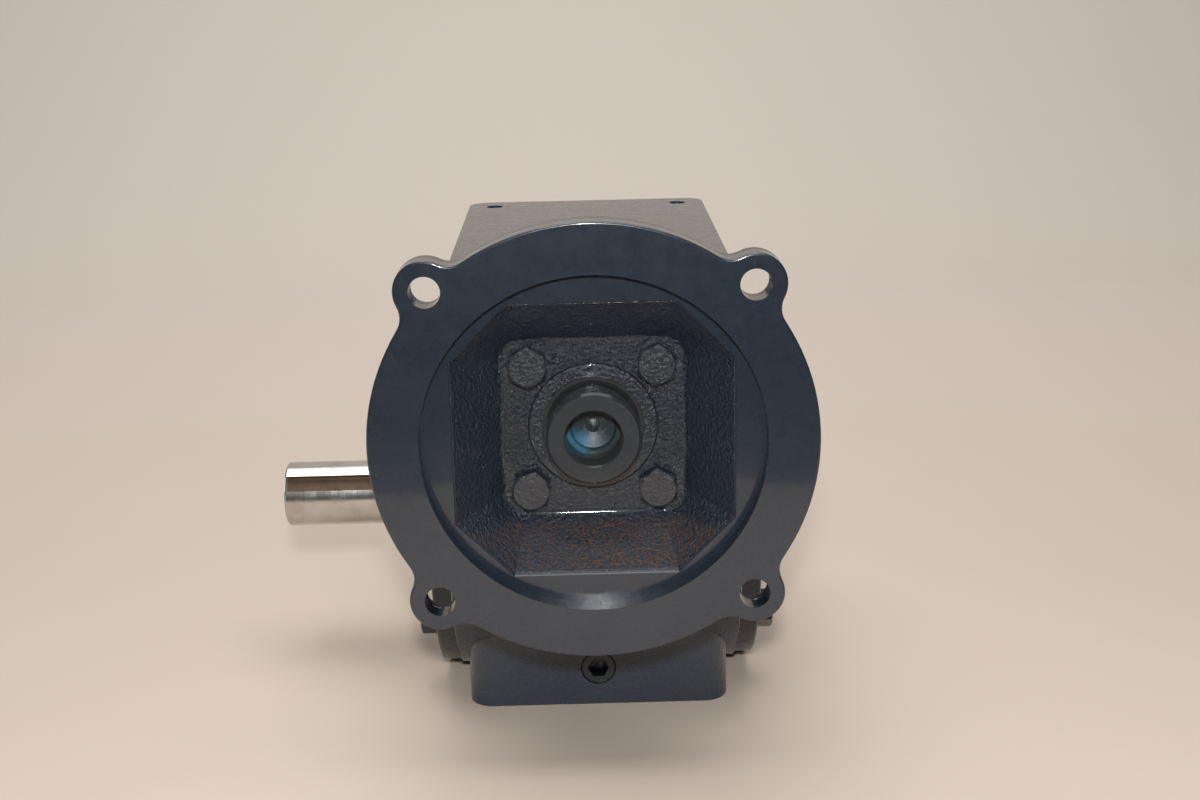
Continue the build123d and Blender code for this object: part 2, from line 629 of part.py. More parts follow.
ROLLER_PITCH_R = 23.3                     # at half the rollers' length
ROLLER_R = 3.6
ROLLER_HALF = 5.3
CONTACT_ANGLE = radians(13)
APEX = ROLLER_PITCH_R / tan(CONTACT_ANGLE)
ROLLER_TAPER = atan(ROLLER_R * sin(CONTACT_ANGLE) / ROLLER_PITCH_R)
ROLLER_COUNT = 15
POCKET_HALF = ROLLER_R + 0.35
CUP_SHORT = 2.0                           # the cup's raceway ends this far inside its outer face
RIB_GAP = 1.1                             # from the rollers' ends to the cone's ribs
RIB_HEIGHT = 2.2
CAGE_WALL_HALF = 0.6
CAGE_SHIFT = 0.9                          # the cage runs outside the rollers' pitch cone
CAGE_END_GAP = 0.8


def roller_bearing(side, prefix):
    """Tapered roller bearing on the output axis, its wide end towards the wheel."""
    bore_r = OUTPUT_BEARING[0] / 2
    outer_r = OUTPUT_BEARING[1] / 2
    half = OUTPUT_BEARING[2] / 2
    centre = side * (OUTPUT_SEAT + half)
    apex_x = centre + side * APEX

    def race_r(x, angle):
        return abs(apex_x - x) * tan(angle)

    def point(along, radius):
        """Along is counted outwards from the bearing's middle."""
        return (centre + side * along, radius)

    cup_angle = CONTACT_ANGLE + ROLLER_TAPER
    cone_angle = CONTACT_ANGLE - ROLLER_TAPER
    cup_in = race_r(point(-half, 0)[0], cup_angle) + RUNNING
    cup_out = race_r(point(half - CUP_SHORT, 0)[0], cup_angle) + RUNNING
    turned(
        [point(-half, outer_r), point(-half, cup_in), point(half - CUP_SHORT, cup_out),
         point(half, cup_out), point(half, outer_r)],
        OUTPUT_PLANE, OUTPUT_AXIS, f"{prefix}_cup",
    )
    rib = ROLLER_HALF * cos(CONTACT_ANGLE) + RIB_GAP
    cone_in = race_r(point(-rib, 0)[0], cone_angle) - RUNNING
    cone_out = race_r(point(rib, 0)[0], cone_angle) - RUNNING
    turned(
        [point(-half, bore_r), point(-half, cone_in + RIB_HEIGHT), point(-rib, cone_in + RIB_HEIGHT),
         point(-rib, cone_in), point(rib, cone_out), point(half, cone_out), point(half, bore_r)],
        OUTPUT_PLANE, OUTPUT_AXIS, f"{prefix}_cone",
    )
    roller_plane = Plane(
        origin=(centre, 0, OUTPUT_Z + ROLLER_PITCH_R),
        x_dir=(cos(CONTACT_ANGLE), 0, -side * sin(CONTACT_ANGLE)), z_dir=(0, -1, 0),
    )
    spread = ROLLER_HALF * tan(ROLLER_TAPER) * side
    with BuildPart() as roller:
        with BuildSketch(roller_plane):
            with BuildLine():
                Polyline(
                    (-ROLLER_HALF, 0), (-ROLLER_HALF, ROLLER_R + spread),
                    (ROLLER_HALF, ROLLER_R - spread), (ROLLER_HALF, 0), close=True,
                )
            make_face()
        revolve(axis=Axis(roller_plane.origin, roller_plane.x_dir))
    with BuildPart() as rollers:
        for index in range(ROLLER_COUNT):
            add(roller.part.rotate(OUTPUT_AXIS, index * 360 / ROLLER_COUNT))
    write(rollers.part, f"{prefix}_rollers")
    with BuildPart() as pocket:
        with BuildSketch(roller_plane.offset(-POCKET_HALF)):
            Rectangle(2 * ROLLER_HALF + 0.2, 3 * ROLLER_R)
        extrude(amount=2 * POCKET_HALF)
    cage_half = half - CAGE_END_GAP
    mean_r = ROLLER_PITCH_R + CAGE_SHIFT
    rise = cage_half * tan(CONTACT_ANGLE)
    with BuildPart() as cage:
        with BuildSketch(OUTPUT_PLANE):
            with BuildLine():
                Polyline(
                    point(-cage_half, mean_r + rise - CAGE_WALL_HALF),
                    point(-cage_half, mean_r + rise + CAGE_WALL_HALF),
                    point(cage_half, mean_r - rise + CAGE_WALL_HALF),
                    point(cage_half, mean_r - rise - CAGE_WALL_HALF), close=True,
                )
            make_face()
        revolve(axis=OUTPUT_AXIS)
        for index in range(ROLLER_COUNT):
            add(pocket.part.rotate(OUTPUT_AXIS, index * 360 / ROLLER_COUNT), mode=Mode.SUBTRACT)
    write(cage.part, f"{prefix}_cage")


roller_bearing(-1, "output_bearing")
roller_bearing(1, "blind_bearing")


# ---- worm shaft -----------------------------------------------------------------------------
QUILL_Y = flange_y(QUILL_DEPTH)
SEAT_R = FRONT_BEARING[0] / 2
RING_Y = FRONT_BEARING_Y + FRONT_BEARING[2] / 2
SNAP_RING = 1.2
SNAP_DEPTH = 0.9
REAR_SEAT_R = REAR_BEARING[0] / 2
NECK_R = 13.6
NECK_END = -46.0                          # y where the shaft starts to narrow to the thread's root
NECK_TAPER = 10.0
REAR_NECK = (34.0, 36.0)                  # y where it widens again
EDGE = 0.8                                # chamfer of the shafts' ends
REAR_END = REAR_SEAT + REAR_BEARING[2] + 2.4
BORE_END = QUILL_Y + QUILL_BORE_DEPTH
PLUG_Y = QUILL_Y + PLUG_DEPTH
MOUTH_CHAMFER = 0.45
GROOVE_R = QUILL_BORE_R + 0.6             # groove that holds the bore plug
THREAD_TURNS = 8
THINNING = 0.1                            # taken off each flank of the thread
TOOTH_ROOT_HALF = AXIAL_PITCH / 4 + 1.25 * MODULE * tan(PRESSURE_ANGLE) - THINNING
TOOTH_TIP_HALF = AXIAL_PITCH / 4 - MODULE * tan(PRESSURE_ANGLE) - THINNING
ROOT_SINK = 0.3
RUN_OUT = 4.0                             # length of the thread's tapered ends

with BuildPart() as thread:
    start_y = -(THREAD_TURNS / 2 + 0.5) * AXIAL_PITCH
    with BuildLine() as helix:
        Helix(
            pitch=AXIAL_PITCH, height=(THREAD_TURNS + 1) * AXIAL_PITCH, radius=WORM_ROOT_R,
            center=(0, start_y, WORM_Z), direction=(0, 1, 0),
        )
    with BuildSketch(WORM_PLANE):
        with BuildLine():
            sink_half = TOOTH_ROOT_HALF + ROOT_SINK * tan(PRESSURE_ANGLE)
            Polyline(
                (start_y - sink_half, WORM_ROOT_R - ROOT_SINK), (start_y - TOOTH_TIP_HALF, WORM_TIP_R),
                (start_y + TOOTH_TIP_HALF, WORM_TIP_R), (start_y + sink_half, WORM_ROOT_R - ROOT_SINK),
                close=True,
            )
        make_face()
    sweep(path=helix.wires()[0], is_frenet=True)
    for end in (-1, 1):
        with BuildSketch(WORM_PLANE):
            with BuildLine():
                Polyline(
                    (end * WORM_HALF_LENGTH, 0), (end * WORM_HALF_LENGTH, WORM_ROOT_R + ROOT_SINK),
                    (end * (WORM_HALF_LENGTH - RUN_OUT), WORM_TIP_R + ROOT_SINK),
                    (end * (WORM_HALF_LENGTH - RUN_OUT), 2 * WORM_TIP_R),
                    (end * 2 * WORM_HALF_LENGTH, 2 * WORM_TIP_R), (end * 2 * WORM_HALF_LENGTH, 0),
                    close=True,
                )
            make_face()
        revolve(axis=WORM_AXIS, mode=Mode.SUBTRACT)

with BuildPart() as worm_shaft:
    with BuildSketch(WORM_PLANE):
        with BuildLine():
            Polyline(
                (QUILL_Y, QUILL_BORE_R + MOUTH_CHAMFER), (QUILL_Y, QUILL_R - EDGE), (QUILL_Y + EDGE, QUILL_R),
                (RING_Y - FRONT_BEARING[2], QUILL_R), (RING_Y - FRONT_BEARING[2], SEAT_R), (RING_Y, SEAT_R),
                (RING_Y, SEAT_R - SNAP_DEPTH), (RING_Y + SNAP_RING, SEAT_R - SNAP_DEPTH),
                (RING_Y + SNAP_RING, SEAT_R), (RING_Y + 3, SEAT_R), (RING_Y + 4, NECK_R),
                (NECK_END, NECK_R), (NECK_END + NECK_TAPER, WORM_ROOT_R), (REAR_NECK[0], WORM_ROOT_R),
                (REAR_NECK[1], NECK_R),
                (REAR_SEAT, NECK_R), (REAR_SEAT, REAR_SEAT_R), (REAR_END - 1, REAR_SEAT_R),
                (REAR_END, REAR_SEAT_R - 1), (REAR_END, 0), (BORE_END + 4, 0), (BORE_END, QUILL_BORE_R),
                (PLUG_Y + PLUG_GROOVE, QUILL_BORE_R), (PLUG_Y + PLUG_GROOVE, GROOVE_R),
                (PLUG_Y, GROOVE_R), (PLUG_Y, QUILL_BORE_R),
                (QUILL_Y + MOUTH_CHAMFER, QUILL_BORE_R), close=True,
            )
        make_face()
    revolve(axis=WORM_AXIS)
    add(thread.part)
write(worm_shaft.part, "worm_shaft")

SNAP_START = RING_Y + RUNNING
SNAP_END = RING_Y + SNAP_RING - RUNNING
SNAP_OUTER_R = SEAT_R + 1.9
turned(
    [(SNAP_START, SEAT_R - SNAP_DEPTH), (SNAP_START, SNAP_OUTER_R), (SNAP_END, SNAP_OUTER_R),
     (SNAP_END, SEAT_R - SNAP_DEPTH)],
    WORM_PLANE, WORM_AXIS, "worm_snap_ring",
)

# bore plug: a dished cap with its rim snapped into the groove of the quill
PLUG_WALL = 1.2
PLUG_RIM_R = GROOVE_R - 0.1
PLUG_FRONT = PLUG_Y + RUNNING
turned(
    [(PLUG_FRONT, PLUG_RIM_R), (PLUG_FRONT, QUILL_BORE_R - 1.6), (PLUG_Y + 1.0, QUILL_BORE_R - 2.2),
     (PLUG_Y + 2.6, 2.4), (PLUG_Y + 1.6, 0), (PLUG_Y + 3.2, 0), (PLUG_Y + 4.0, 2.8),
     (PLUG_Y + 2.6, QUILL_BORE_R - 1.0), (PLUG_Y + PLUG_WALL, QUILL_BORE_R - 0.6),
     (PLUG_Y + PLUG_WALL, PLUG_RIM_R)],
    WORM_PLANE, WORM_AXIS, "quill_plug",
)


# ---- worm wheel -----------------------------------------------------------------------------
THROAT_HALF = 5.0                         # half width of the hollow turned round the rim
BASE_R = WHEEL_PITCH_R * cos(PRESSURE_ANGLE)
GAP_BOTTOM = CENTRE_DISTANCE - WORM_TIP_R - 0.25 * MODULE
FLANK_RADII = (BASE_R, 40.2, WHEEL_PITCH_R, 42.8, 44.4, 46.6)


def involute(angle):
    """The involute function of a pressure angle."""
    return tan(angle) - angle


def gap_half(radius):
    """Half width of a tooth gap at this radius: an involute flank plus half the backlash."""
    pressure = acos(min(1.0, BASE_R / radius))
    tooth_half = pi / (2 * WHEEL_TEETH) + involute(PRESSURE_ANGLE) - involute(pressure)
    return radius * sin(pi / WHEEL_TEETH - tooth_half) + BACKLASH / 2


flank = [(gap_half(r), r) for r in FLANK_RADII]
mirrored = [(-y, r) for y, r in reversed(flank)]

# one gap: the involute gap of the middle plane swept round the worm axis, tilted by the lead
with BuildPart() as gap:
    with BuildSketch(Plane(origin=(0, 0, 0), x_dir=(0, 1, 0), z_dir=(1, 0, 0))):
        with BuildLine():
            Line((flank[0][0], GAP_BOTTOM), flank[0])
            Spline(*flank)
            Line(flank[-1], mirrored[0])
            Spline(*mirrored)
            Line(mirrored[-1], (mirrored[-1][0], GAP_BOTTOM))
            Line((mirrored[-1][0], GAP_BOTTOM), (flank[0][0], GAP_BOTTOM))
        make_face()
    revolve(axis=Axis((0, 0, CENTRE_DISTANCE), (0, 1, 0)))
gap_tool = gap.part.rotate(Axis.Z, -GAP_TILT).moved(Location((0, 0, OUTPUT_Z)))

RIM_CHAMFER = 1.5
THROAT_LOW_R = 43.7
with BuildPart() as wheel_rim:
    with BuildSketch(OUTPUT_PLANE):
        with BuildLine():
            Polyline(
                (-THROAT_HALF, WHEEL_OUTER_R), (-WHEEL_FACE / 2 + RIM_CHAMFER, WHEEL_OUTER_R),
                (-WHEEL_FACE / 2, WHEEL_OUTER_R - RIM_CHAMFER), (-WHEEL_FACE / 2, WHEEL_RIM_BORE_R),
                (WHEEL_FACE / 2, WHEEL_RIM_BORE_R), (WHEEL_FACE / 2, WHEEL_OUTER_R - RIM_CHAMFER),
                (WHEEL_FACE / 2 - RIM_CHAMFER, WHEEL_OUTER_R), (THROAT_HALF, WHEEL_OUTER_R),
            )
            ThreePointArc(
                (THROAT_HALF, WHEEL_OUTER_R), (0, THROAT_LOW_R), (-THROAT_HALF, WHEEL_OUTER_R)
            )
        make_face()
    revolve(axis=OUTPUT_AXIS)
    for index in range(WHEEL_TEETH):
        add(gap_tool.rotate(OUTPUT_AXIS, index * 360 / WHEEL_TEETH), mode=Mode.SUBTRACT)
write(wheel_rim.part, "wheel_rim")


# ---- wheel hub, key, spacers and output shaft ------------------------------------------------
HUB_BORE_R = 16.0
HUB_HALF = 17.0
HUB_R = 23.0
WEB_HALF = 5.0
KEY_WIDTH = 8.0
KEY_IN_SHAFT = 4.0
KEY_IN_HUB = 3.0
COLLAR_R = 19.0
OUTPUT_SEAT_R = OUTPUT_BEARING[0] / 2
SEAT_END = OUTPUT_SEAT + OUTPUT_BEARING[2]
JOURNAL_START = COVER_FACE + 0.4
JOURNAL_END = SEAT_END + 0.3
RIM_SEAT_R = WHEEL_RIM_BORE_R - 0.01
RIM_BED_R = 27.5                          # underside of the hub's bed for the rim
KEY_MARGIN = 2.0                          # the key is this much shorter than the hub at each end
SPACER_WALL = 4.0

with BuildPart() as wheel_hub:
    with BuildSketch(OUTPUT_PLANE):
        with BuildLine():
            Polyline(
                (-HUB_HALF, HUB_BORE_R), (-HUB_HALF, HUB_R), (-WEB_HALF, HUB_R), (-WEB_HALF, RIM_BED_R),
                (-WHEEL_FACE / 2, RIM_BED_R), (-WHEEL_FACE / 2, RIM_SEAT_R), (WHEEL_FACE / 2, RIM_SEAT_R),
                (WHEEL_FACE / 2, RIM_BED_R), (WEB_HALF, RIM_BED_R), (WEB_HALF, HUB_R), (HUB_HALF, HUB_R),
                (HUB_HALF, HUB_BORE_R), close=True,
            )
        make_face()
    revolve(axis=OUTPUT_AXIS)
    with Locations((0, 0, OUTPUT_Z + HUB_BORE_R)):
        Box(2 * HUB_HALF, KEY_WIDTH, 2 * (KEY_IN_HUB + SHEET_PLAY), mode=Mode.SUBTRACT)
write(wheel_hub.part, "wheel_hub")

with BuildPart() as wheel_key:
    with Locations((0, 0, OUTPUT_Z + HUB_BORE_R + KEY_IN_HUB)):
        Box(
            2 * (HUB_HALF - KEY_MARGIN), KEY_WIDTH - 0.02, KEY_IN_HUB + KEY_IN_SHAFT,
            align=(Align.CENTER, Align.CENTER, Align.MAX),
        )
    fillet(wheel_key.edges().filter_by(Axis.Z), 3.5)
write(wheel_key.part, "wheel_key")

turned(
    [(HUB_HALF, HUB_BORE_R + PLAY), (HUB_HALF, HUB_BORE_R + SPACER_WALL),
     (OUTPUT_SEAT, HUB_BORE_R + SPACER_WALL), (OUTPUT_SEAT, HUB_BORE_R + PLAY)],
    OUTPUT_PLANE, OUTPUT_AXIS, "wheel_spacer",
)

keyway_up = radians(KEYWAY_ANGLE)
keyway_plane = Plane(
    origin=(0, -OUTPUT_R * cos(keyway_up), OUTPUT_Z + OUTPUT_R * sin(keyway_up)),
    x_dir=(-1, 0, 0), z_dir=(0, -cos(keyway_up), sin(keyway_up)),
)
with BuildPart() as output_shaft:
    with BuildSketch(OUTPUT_PLANE):
        with BuildLine():
            Polyline(
                (-OUTPUT_END, 0), (-OUTPUT_END, OUTPUT_R - EDGE), (-OUTPUT_END + EDGE, OUTPUT_R),
                (-JOURNAL_START, OUTPUT_R), (-JOURNAL_START, SEAL_JOURNAL_R), (-JOURNAL_END, SEAL_JOURNAL_R),
                (-JOURNAL_END, OUTPUT_SEAT_R - 0.6), (-SEAT_END, OUTPUT_SEAT_R),
                (-OUTPUT_SEAT, OUTPUT_SEAT_R), (-OUTPUT_SEAT, COLLAR_R), (-HUB_HALF, COLLAR_R),
                (-HUB_HALF, HUB_BORE_R), (OUTPUT_SEAT - 1, HUB_BORE_R), (OUTPUT_SEAT, OUTPUT_SEAT_R),
                (SEAT_END - 1, OUTPUT_SEAT_R), (SEAT_END, OUTPUT_SEAT_R - 1), (SEAT_END, 0), close=True,
            )
        make_face()
    revolve(axis=OUTPUT_AXIS)
    with BuildSketch(keyway_plane):
        with Locations((OUTPUT_END, 0)):
            Rectangle(2 * (KEYWAY_LENGTH - KEYWAY_WIDTH / 2), KEYWAY_WIDTH)
        with Locations((OUTPUT_END - KEYWAY_LENGTH + KEYWAY_WIDTH / 2, 0)):
            Circle(KEYWAY_WIDTH / 2)
    extrude(amount=-KEYWAY_DEPTH, mode=Mode.SUBTRACT)
    with Locations((0, 0, OUTPUT_Z + HUB_BORE_R)):
        Box(
            2 * (HUB_HALF - KEY_MARGIN), KEY_WIDTH, KEY_IN_SHAFT,
            align=(Align.CENTER, Align.CENTER, Align.MAX), mode=Mode.SUBTRACT,
        )
write(output_shaft.part, "output_shaft")
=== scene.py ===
import json
import math

import bpy
from mathutils import Matrix, Vector


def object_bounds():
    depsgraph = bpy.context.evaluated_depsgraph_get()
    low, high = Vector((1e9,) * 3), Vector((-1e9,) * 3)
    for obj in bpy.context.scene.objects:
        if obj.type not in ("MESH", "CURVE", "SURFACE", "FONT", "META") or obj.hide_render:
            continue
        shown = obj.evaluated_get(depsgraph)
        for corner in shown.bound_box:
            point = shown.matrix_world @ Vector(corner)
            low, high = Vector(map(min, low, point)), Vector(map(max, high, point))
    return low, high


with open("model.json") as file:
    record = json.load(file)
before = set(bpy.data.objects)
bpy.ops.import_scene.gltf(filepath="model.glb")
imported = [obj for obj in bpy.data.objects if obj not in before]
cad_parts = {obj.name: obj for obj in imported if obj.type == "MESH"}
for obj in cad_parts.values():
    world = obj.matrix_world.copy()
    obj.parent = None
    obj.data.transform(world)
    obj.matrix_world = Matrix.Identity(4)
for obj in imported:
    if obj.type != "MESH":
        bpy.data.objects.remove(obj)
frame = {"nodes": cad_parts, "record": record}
cad_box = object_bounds()

MM = 0.001
nodes = frame["nodes"]

# ---- places read from the frame --------------------------------------------------------------
mounts = {mount["name"]: mount for mount in frame["record"]["mounts"]}
WORM_Z = mounts["input_bore"]["pos_m"][2]
FLANGE_Y = mounts["motor_face"]["pos_m"][1]
OUTPUT_Z = mounts["output_shaft"]["pos_m"][2]
REGISTER_DEPTH = mounts["flange_register"]["dims"]["length_mm"] * MM
QUILL_BORE_R = mounts["input_bore"]["dims"]["r_mm"] * MM
SHAFT_END = cad_box[0][0]
SHAFT_R = mounts["output_shaft"]["dims"]["r_mm"] * MM
TOP_Z = mounts["top_face"]["pos_m"][2]
KEYWAY_STAIN_R = SHAFT_R - 0.5 * MM

# ---- camera ------------------------------------------------------------------------------------
CAMERA_PLACE = Vector((-0.0030, -0.6156, 0.2809))
PITCH = math.radians(16.0)
YAW = math.radians(0.6)
ROLL = math.radians(-1.3)
LENS = 48.5

camera_data = bpy.data.cameras.new("camera")
camera_data.lens = LENS
camera_data.sensor_width = 36
camera_data.clip_start = 0.01
camera_data.clip_end = 20
camera = bpy.data.objects.new("camera", camera_data)
camera.matrix_world = (
    Matrix.Translation(CAMERA_PLACE)
    @ Matrix.Rotation(-YAW, 4, "Z")
    @ Matrix.Rotation(math.pi / 2 - PITCH, 4, "X")
    @ Matrix.Rotation(ROLL, 4, "Z")
)
bpy.context.scene.collection.objects.link(camera)
bpy.context.scene.camera = camera


# ---- material building -------------------------------------------------------------------------
class Maker:
    """Adds nodes to one material; every texture uses the row frame's metres."""

    def __init__(self, name):
        self.material = bpy.data.materials.new(name)
        self.material.use_nodes = True
        self.nodes = self.material.node_tree.nodes
        self.links = self.material.node_tree.links
        self.shader = self.nodes["Principled BSDF"]
        self.position = self.nodes.new("ShaderNodeTexCoord").outputs["Object"]

    def feed(self, socket, value):
        """Sets a socket to a number or colour, or links it to another node's output."""
        if isinstance(value, bpy.types.NodeSocket):
            self.links.new(value, socket)
        else:
            socket.default_value = value

    def math(self, operation, *values):
        """A Math node."""
        node = self.nodes.new("ShaderNodeMath")
        node.operation = operation
        for socket, value in zip(node.inputs, values):
            self.feed(socket, value)
        return node.outputs[0]

    def product(self, *values):
        """All the values multiplied together."""
        total = values[0]
        for value in values[1:]:
            total = self.math("MULTIPLY", total, value)
        return total

    def axis(self, letter):
        """One coordinate of the surface point."""
        node = self.nodes.new("ShaderNodeSeparateXYZ")
        self.links.new(self.position, node.inputs[0])
        return node.outputs[letter]

    def ramp(self, value, low, high):
        """0 below low, 1 above high, smooth between; high may be the smaller one."""
        node = self.nodes.new("ShaderNodeMapRange")
        node.interpolation_type = "SMOOTHSTEP"
        self.feed(node.inputs["Value"], value)
        node.inputs["From Min"].default_value = low
        node.inputs["From Max"].default_value = high
        return node.outputs[0]

    def stretched(self, scale):
        """The surface point with each coordinate multiplied by its own scale."""
        node = self.nodes.new("ShaderNodeVectorMath")
        node.operation = "MULTIPLY"
        self.links.new(self.position, node.inputs[0])
        node.inputs[1].default_value = scale
        return node.outputs[0]

    def noise(self, size, detail=3.0, rough=0.55, vector=None):
        """Noise whose features are about that many metres across."""
        node = self.nodes.new("ShaderNodeTexNoise")
        self.links.new(vector or self.position, node.inputs["Vector"])
        node.inputs["Scale"].default_value = 1 / size
        node.inputs["Detail"].default_value = detail
        node.inputs["Roughness"].default_value = rough
        return node.outputs["Fac"]

    def cells(self, size):
        """Smooth cells about that many metres across."""
        node = self.nodes.new("ShaderNodeTexVoronoi")
        node.feature = "SMOOTH_F1"
        self.links.new(self.position, node.inputs["Vector"])
        node.inputs["Scale"].default_value = 1 / size
        return node.outputs["Distance"]

    def mix(self, share, first, second):
        """Mixes two colours, or two numbers, by share."""
        node = self.nodes.new("ShaderNodeMix")
        node.data_type = "RGBA"
        self.feed(node.inputs["Factor"], share)
        self.feed(node.inputs["A"], first)
        self.feed(node.inputs["B"], second)
        return node.outputs["Result"]

    def distance(self, along, height):
        """Distance of the surface point from an axis along X or Y at that height."""
        across = self.axis("Y" if along == "X" else "X")
        rise = self.math("SUBTRACT", self.axis("Z"), height)
        squares = self.math("ADD", self.math("MULTIPLY", across, across), self.math("MULTIPLY", rise, rise))
        return self.math("SQRT", squares)

    def bump(self, height, depth):
        """Bumps of about that many metres on the shader's normal, on top of earlier ones."""
        node = self.nodes.new("ShaderNodeBump")
        node.inputs["Strength"].default_value = 1.0
        node.inputs["Distance"].default_value = depth
        self.feed(node.inputs["Height"], height)
        earlier = self.shader.inputs["Normal"].links
        if earlier:
            self.links.new(earlier[0].from_socket, node.inputs["Normal"])
        self.links.new(node.outputs["Normal"], self.shader.inputs["Normal"])

    def set(self, **values):
        """Sets the shader's sockets, with _ for the blanks in their names."""
        for name, value in values.items():
            self.feed(self.shader.inputs[name.replace("_", " ")], value)


ENAMEL = (0.016, 0.0235, 0.037, 1)
ENAMEL_DULL = (0.020, 0.0275, 0.041, 1)
ENAMEL_WORN = (0.070, 0.070, 0.072, 1)
RUST = (0.11, 0.046, 0.02, 1)
# near black, used as painted shade on the pad at the bottom of the flange's recess
PAD_PAINTED_SHADE = (0.004, 0.008, 0.012, 1)
OIL_BROWN = (0.12, 0.075, 0.045, 1)


PAD_DEPTH = 24.6 * MM                     # flat pad at the bottom of the flange's recess
RUST_BELOW = WORM_Z - 30 * MM             # the recess's lower wall


def shaded(colour, factor):
    """A colour made darker or lighter."""
    return tuple(factor * part for part in colour[:3]) + (1,)


def top_scuffs(made, colour, roughness):
    """Adds fine scratches in patches on the top face; returns the new colour and roughness."""
    scratch = made.noise(1, 3, vector=made.stretched((260, 1400, 1400)))
    area = made.ramp(made.noise(24 * MM, 2), 0.55, 0.7)
    top = made.ramp(made.axis("Z"), TOP_Z - 1 * MM, TOP_Z - 0.2 * MM)
    marks = made.product(made.ramp(scratch, 0.62, 0.7), area, top)
    colour = made.mix(made.math("MULTIPLY", marks, 0.6), colour, ENAMEL_WORN)
    roughness = made.math("ADD", roughness, made.math("MULTIPLY", marks, 0.25))
    return colour, roughness


def flange_wear(made, colour, roughness, coat, inside):
    """Adds the recess's rusty lower wall, painted shade on the pad at its bottom, and scratches on the upper
    right of the face.
    """
    low = made.ramp(made.axis("Z"), RUST_BELOW, RUST_BELOW - 4 * MM)
    mouth_y = FLANGE_Y + REGISTER_DEPTH
    pad_y = FLANGE_Y + PAD_DEPTH
    deep = made.ramp(made.axis("Y"), mouth_y + 0.8 * MM, mouth_y + 1.6 * MM)
    front = made.ramp(made.axis("Y"), pad_y - 0.6 * MM, pad_y - 3.6 * MM)
    right = made.ramp(made.axis("X"), -24 * MM, 10 * MM)
    flecks = made.ramp(made.noise(0.8 * MM, 3, 0.7), 0.52, 0.58)
    bare = made.product(low, deep, front)
    share = made.product(bare, flecks, made.math("MULTIPLY_ADD", right, 0.4, 0.6))
    colour = made.mix(share, colour, RUST)
    roughness = made.math("MULTIPLY_ADD", bare, 0.3, roughness)
    coat = made.math("MULTIPLY_ADD", bare, -0.35, made.math("MULTIPLY_ADD", inside, -0.2, coat))
    # painted shade: the pad at the bottom of the recess is mixed about halfway towards near black
    pad = made.ramp(made.axis("Y"), pad_y - 1.2 * MM, pad_y - 0.4 * MM)
    colour = made.mix(made.math("MULTIPLY", pad, 0.55), colour, PAD_PAINTED_SHADE)
    scratch = made.noise(1, 3, vector=made.stretched((900, 900, 180)))
    far_right = made.ramp(made.axis("X"), 30 * MM, 50 * MM)
    high = made.ramp(made.axis("Z"), WORM_Z + 30 * MM, WORM_Z + 45 * MM)
    marks = made.product(far_right, high, made.ramp(scratch, 0.64, 0.72))
    colour = made.mix(made.math("MULTIPLY", marks, 0.5), colour, ENAMEL_WORN)
    return colour, roughness, coat


def enamel(name, cast=0.6, scuffs=False, flange=False, shade=1.0, coat=0.6):
    """Slate grey gloss enamel over iron as cast. On the flange only its recess is rough."""
    made = Maker(name)
    clouds = made.ramp(made.noise(35 * MM, 4), 0.4, 0.65)
    colour = made.mix(clouds, shaded(ENAMEL, shade), shaded(ENAMEL_DULL, shade))
    specks = made.ramp(made.noise(0.9 * MM, 2), 0.68, 0.74)
    colour = made.mix(made.math("MULTIPLY", specks, 0.35), colour, ENAMEL_WORN)
    roughness = made.math("MULTIPLY_ADD", made.noise(6 * MM, 4), 0.16, 0.2)
    if scuffs:
        colour, roughness = top_scuffs(made, colour, roughness)
    if flange:
        cast_from = FLANGE_Y + REGISTER_DEPTH + 0.3 * MM
        inside = made.ramp(made.axis("Y"), cast_from, cast_from + 0.4 * MM)
        cast = made.math("MULTIPLY", inside, cast)
        colour, roughness, coat = flange_wear(made, colour, roughness, coat, inside)
    made.set(Base_Color=colour, Roughness=roughness, Coat_Weight=coat, Coat_Roughness=0.06)
    lumps = made.math("ADD", made.noise(1.0 * MM, 3, 0.6), made.math("MULTIPLY", made.cells(1.4 * MM), 0.5))
    made.bump(made.math("MULTIPLY", lumps, cast), 0.8 * MM)
    made.bump(made.noise(7 * MM, 2), 0.09 * MM)
    made.bump(made.noise(0.7 * MM, 2), 0.012 * MM)
    return made.material


def quill_finish():
    """The quill is painted outside and near black inside its mouth, painted shade in the bore; the worm
    behind it is ground steel.
    """
    made = Maker("quill_steel")
    inner = made.ramp(made.distance("Y", WORM_Z), QUILL_BORE_R + 0.3 * MM, QUILL_BORE_R + 0.05 * MM)
    steel = made.ramp(made.axis("Y"), FLANGE_Y + PAD_DEPTH + 1.4 * MM, FLANGE_Y + PAD_DEPTH + 2.4 * MM)
    grain = made.noise(1, 3, 0.6, vector=made.stretched((60, 3000, 60)))
    wear = made.ramp(made.noise(1.6 * MM, 4, 0.65), 0.55, 0.7)
    paint = made.mix(made.math("MULTIPLY", wear, 0.5), (0.020, 0.024, 0.029, 1), (0.055, 0.055, 0.055, 1))
    # painted shade: the inside of the quill's bore is coloured near black
    bore_painted_shade = made.mix(made.noise(2.5 * MM, 4), (0.010, 0.010, 0.011, 1), (0.035, 0.032, 0.030, 1))
    colour = made.mix(inner, paint, bore_painted_shade)
    colour = made.mix(steel, colour, (0.55, 0.54, 0.53, 1))
    rough = made.math("MULTIPLY_ADD", made.noise(3 * MM, 3), 0.2, 0.3)
    rough = made.math("ADD", rough, made.math("MULTIPLY", inner, 0.3))
    made.set(Base_Color=colour, Metallic=steel, Roughness=rough, Coat_Weight=0.5, Coat_Roughness=0.08)
    made.bump(grain, 0.01 * MM)
    made.bump(made.noise(1.8 * MM, 3), 0.07 * MM)
    return made.material


